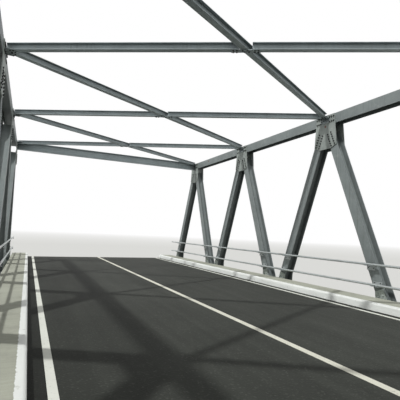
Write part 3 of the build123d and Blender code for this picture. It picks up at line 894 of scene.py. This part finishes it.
class TRUSS_OT_rail_clamps(bpy.types.Operator):
    """Clamps the handrails to their cleats with U-bolts, and bolts the cleats to the diagonals"""
    bl_idname = "truss.rail_clamps"
    bl_label = "Rail Clamps"

    def execute(self, context):
        sizes = bridge().clamps
        steel = bolt_steel_with_painted_shade()
        clamp = rail_clamp()
        bolts = bolt_pattern("cleat_pattern", 2, 1, sizes.spacing, 0, sizes.bolts)
        for name, side in SIDES.items():
            copies = []
            for y, z, upright in cleat_places():
                copies.append(copy_at(clamp, Matrix.Translation((side * RAIL_X, y, z))))
                rise = CLEAT_BOLT_RISE if upright > 0 else -CLEAT_BOLT_DROP
                place = (side * (INNER_FACE + CLEAT_T), y, z - RAIL_R + rise)
                copies.append(copy_at(bolts, facing(place, (0, 0, 1), (-side, 0, 0))))
            finish_piece(joined(copies, f"rail_clamps_{name}"), steel)
        discard(clamp, bolts)
        return {"FINISHED"}


# Road lines

# The share of the paint's thickness that its rounded edge takes
LINE_ROUND = 0.8


class TRUSS_OT_road_lines(bpy.types.Operator):
    """Paints the middle line and the two edge lines on the road"""
    bl_idname = "truss.road_lines"
    bl_label = "Road Lines"

    def execute(self, context):
        lines, finish = bridge().lines, bridge().deck
        creamy = line_paint("thermoplastic_middle_line", finish.middle_paint)
        white = line_paint("thermoplastic_edge_line", finish.edge_paint)
        length = ROAD_HIGH.y - ROAD_LOW.y
        strips = (("middle", 0, lines.middle, creamy),
                  ("left", -lines.edge, lines.width, white),
                  ("right", lines.edge, lines.width, white))
        for name, x, width, paint in strips:
            deselect()
            bpy.ops.mesh.primitive_cube_add(size=1, location=(x, 0, ROAD_HIGH.z + lines.thickness / 2),
                                            scale=(width, length, lines.thickness))
            strip = bpy.context.object
            settle(strip)
            edit_faces(strip, looks_up, lambda: bpy.ops.mesh.bevel(
                offset=lines.thickness * LINE_ROUND, segments=2, affect="EDGES"))
            strip.name = f"road_line_{name}"
            finish_piece(strip, paint)
        return {"FINISHED"}


# Finishes of the CAD nodes

# Two rust stains on the right truss, each with its middle and its radius
GUSSET_STAIN = ((INNER_FACE, TOP_NODES[3], Z_TOP - 0.19), 0.05)
CHORD_STAIN = ((INNER_FACE + 0.02, TOP_NODES[-1] - 1.7, Z_TOP + 0.05), 0.06)
# How far out from the middle of the road the kerbs are painted
PAINT_REACH = KERB_FOOT + 0.11


class TRUSS_OT_steel_finish(bpy.types.Operator):
    """Gives the steelwork its weathered zinc"""
    bl_idname = "truss.steel_finish"
    bl_label = "Steel Finish"

    def execute(self, context):
        finish = bridge().steel
        # The sections take painted shade in their corners and recesses, and towards the deck
        dress(("top_chord", "bottom_chord", "end_posts", "diagonals", "cross_girder", "stringer"),
              zinc("galvanised_sections_with_painted_shade", finish.section, corners=0.55, low_shade=0.22, stains=(CHORD_STAIN,)))
        # The braces' lighter colour is partly painted light, and they take painted shade in their corners
        dress(("portal_beam", "top_bracing", "bottom_bracing"),
              zinc("galvanised_braces_with_painted_light_and_shade", finish.brace, corners=0.6))
        dress(("top_gussets", "bottom_gussets", "gusset_stays", "bearing_base", "bearing_sole"),
              zinc("galvanised_plates", finish.plate, mottle=0.14, streak=0.5, bloom=0.6, metallic=0.2,
                   stains=(GUSSET_STAIN,)))
        dress(("handrail", "rail_"),
              zinc("galvanised_rails", finish.rail, mottle=0.06, streak=0.2, bloom=0.2, roughness=0.4,
                   metallic=0.4))
        dress(("deck_sheeting",),
              zinc("galvanised_deck_form", finish.sheet, mottle=0.08, streak=0.125, bloom=0.3, roughness=0.4,
                   metallic=0.4))
        dress(("expansion_joint",), joint_steel())
        return {"FINISHED"}


class TRUSS_OT_deck_finish(bpy.types.Operator):
    """Gives the road, the walkways, the slab and the bearings their finish"""
    bl_idname = "truss.deck_finish"
    bl_label = "Deck Finish"

    def execute(self, context):
        dress(("road_surface",), asphalt(bridge().lines.edge))
        dress(("deck_slab",), cast_concrete())
        dress(("walkway",), kerb_concrete(PAINT_REACH))
        dress(("bearing_pads",), bearing_rubber())
        return {"FINISHED"}


# Stage

# The camera in metres and radians, as fitted to the truss nodes and the road lines
CAMERA_X = -3.7064
CAMERA_BEFORE_PORTAL = 18.7301
CAMERA_YAW = 0.4271
CAMERA_PITCH = 0.0872
CAMERA_ROLL = 0.0429
SENSOR = 36
PHOTO_WIDTH = 400
FOCAL_PIXELS = 373.64
CLIP = (0.05, 2000)
# Strengths, the sun's width in degrees and the way to it, and how high the lower sky's light goes
SKY_LIGHT = 0.5
LOW_SKY_LIGHT = 0.62
SUN_STRENGTH = 2.45
SUN_ANGLE = 2
SUN_FROM = (-0.50, -0.147, 1.0)
HIGH_SKY = 0.6
# Metres, but the bounce is the share of light that the floor gives back
FLOOR_SIZE = 900
FLOOR_GAP = 0.001
FLOOR_FADE = (60, 220)
FLOOR_BOUNCE = 0.12
WHITE = (1, 1, 1, 1)


def make_camera():
    """The camera where the photograph was taken, on the walkway inside the span."""
    forward = Vector((math.sin(CAMERA_YAW) * math.cos(CAMERA_PITCH),
                      math.cos(CAMERA_YAW) * math.cos(CAMERA_PITCH), math.sin(CAMERA_PITCH)))
    level = Vector((math.cos(CAMERA_YAW), -math.sin(CAMERA_YAW), 0))
    upright = level.cross(forward)
    right = math.cos(CAMERA_ROLL) * level + math.sin(CAMERA_ROLL) * upright
    above = right.cross(forward)
    turn = Matrix((right, above, -forward)).transposed().to_4x4()
    data = bpy.data.cameras.new("camera")
    data.sensor_width = SENSOR
    data.lens = FOCAL_PIXELS * SENSOR / PHOTO_WIDTH
    data.clip_start, data.clip_end = CLIP
    camera = bpy.data.objects.new("camera", data)
    bpy.context.scene.collection.objects.link(camera)
    place = Vector((CAMERA_X, TOP_NODES[-1] - CAMERA_BEFORE_PORTAL, ROAD_HIGH.z + bridge().stage.eye_height))
    camera.matrix_world = Matrix.Translation(place) @ turn
    bpy.context.scene.camera = camera


def seen_ray(tree):
    """1 for what the camera sees directly, in a reflection or through glass."""
    seen = add(tree, "LightPath", output="Is Camera Ray")
    for way in ("Is Glossy Ray", "Is Transmission Ray"):
        seen = add(tree, "Math", seen, add(tree, "LightPath", output=way), operation="MAXIMUM")
    return seen


def make_sky():
    """An even white background that lights the object a little less than it shows."""
    world = bpy.data.worlds.new("sky")
    world.use_nodes = True
    tree = world.node_tree
    tree.nodes.clear()
    height = add(tree, "SeparateXYZ", add(tree, "TexCoord", output="Generated"), output="Z")
    light = add(tree, "MapRange", height, 0, HIGH_SKY, LOW_SKY_LIGHT, SKY_LIGHT)
    strength = add(tree, "Math", seen_ray(tree), light, operation="MAXIMUM")
    add(tree, "OutputWorld", add(tree, "Background", WHITE, strength))
    bpy.context.scene.world = world


def make_floor():
    """A pale floor that fades into the background, and bounces little light up under the steel."""
    deselect()
    bpy.ops.mesh.primitive_plane_add(size=FLOOR_SIZE, location=(0, 0, CAD_BOX[0].z - FLOOR_GAP))
    floor = bpy.context.object
    floor.name = "floor"
    settle(floor)
    material, tree = new_material("pale_floor")
    away = add(tree, "VectorMath", object_place(tree), operation="LENGTH", output="Value")
    seen = seen_ray(tree)
    dull = rgba([FLOOR_BOUNCE] * 3)
    lit = add(tree, "BsdfDiffuse", covered(tree, dull, rgba(bridge().stage.floor), seen))
    white = add(tree, "Emission", WHITE, 1)
    far = add(tree, "MapRange", away, *FLOOR_FADE, 0, 1)
    faded = add(tree, "Math", far, seen, operation="MULTIPLY")
    add(tree, "OutputMaterial", add(tree, "MixShader", faded, lit, white))
    floor.data.materials.append(material)


def make_sun():
    """A mild sun with soft shadows."""
    data = bpy.data.lights.new("sun", "SUN")
    data.energy = SUN_STRENGTH
    data.angle = math.radians(SUN_ANGLE)
    sun = bpy.data.objects.new("sun", data)
    sun.rotation_euler = Vector(SUN_FROM).to_track_quat("Z", "Y").to_euler()
    bpy.context.scene.collection.objects.link(sun)


class TRUSS_OT_stage(bpy.types.Operator):
    """Builds the floor, the light and the camera"""
    bl_idname = "truss.stage"
    bl_label = "Stage"

    def execute(self, context):
        context.scene.view_settings.view_transform = "Standard"
        make_camera()
        make_sky()
        make_sun()
        make_floor()
        return {"FINISHED"}


# The add-on

class TrussBridge(bpy.types.PropertyGroup):
    """Everything that a user may change on the bridge."""
    steel: bpy.props.PointerProperty(type=SteelFinish)
    deck: bpy.props.PointerProperty(type=DeckFinish)
    bolts: bpy.props.PointerProperty(type=BoltSizes)
    clamps: bpy.props.PointerProperty(type=ClampSizes)
    lines: bpy.props.PointerProperty(type=RoadLines)
    stage: bpy.props.PointerProperty(type=StageSettings)


STEPS = (TRUSS_OT_stage, TRUSS_OT_steel_finish, TRUSS_OT_deck_finish, TRUSS_OT_top_gusset_bolts,
         TRUSS_OT_bottom_gusset_bolts, TRUSS_OT_top_bracing_bolts, TRUSS_OT_bottom_bracing_bolts,
         TRUSS_OT_beam_bolts, TRUSS_OT_rail_clamps, TRUSS_OT_road_lines)


class TRUSS_PT_panel(bpy.types.Panel):
    """Lists the bridge's steps and what may be changed"""
    bl_label = "Truss Bridge"
    bl_space_type = "VIEW_3D"
    bl_region_type = "UI"
    bl_category = "Truss Bridge"

    def draw(self, context):
        for step in STEPS:
            self.layout.operator(step.bl_idname)
        for group_name in TrussBridge.__annotations__:
            group = getattr(bridge(), group_name)
            box = self.layout.box()
            box.label(text=group_name.capitalize())
            for value_name in type(group).__annotations__:
                box.prop(group, value_name)


GROUPS = (SteelFinish, DeckFinish, BoltSizes, ClampSizes, RoadLines, StageSettings, TrussBridge)


def register():
    for kind in (*GROUPS, *STEPS, TRUSS_PT_panel):
        bpy.utils.register_class(kind)
    bpy.types.Scene.truss_bridge = bpy.props.PointerProperty(type=TrussBridge)


def unregister():
    del bpy.types.Scene.truss_bridge
    for kind in reversed((*GROUPS, *STEPS, TRUSS_PT_panel)):
        bpy.utils.unregister_class(kind)


def call(step):
    """Runs a step's operator by its own name."""
    area, name = step.bl_idname.split(".")
    getattr(getattr(bpy.ops, area), name)()


def main():
    register()
    for step in STEPS:
        call(step)


if __name__ == "__main__":
    main()
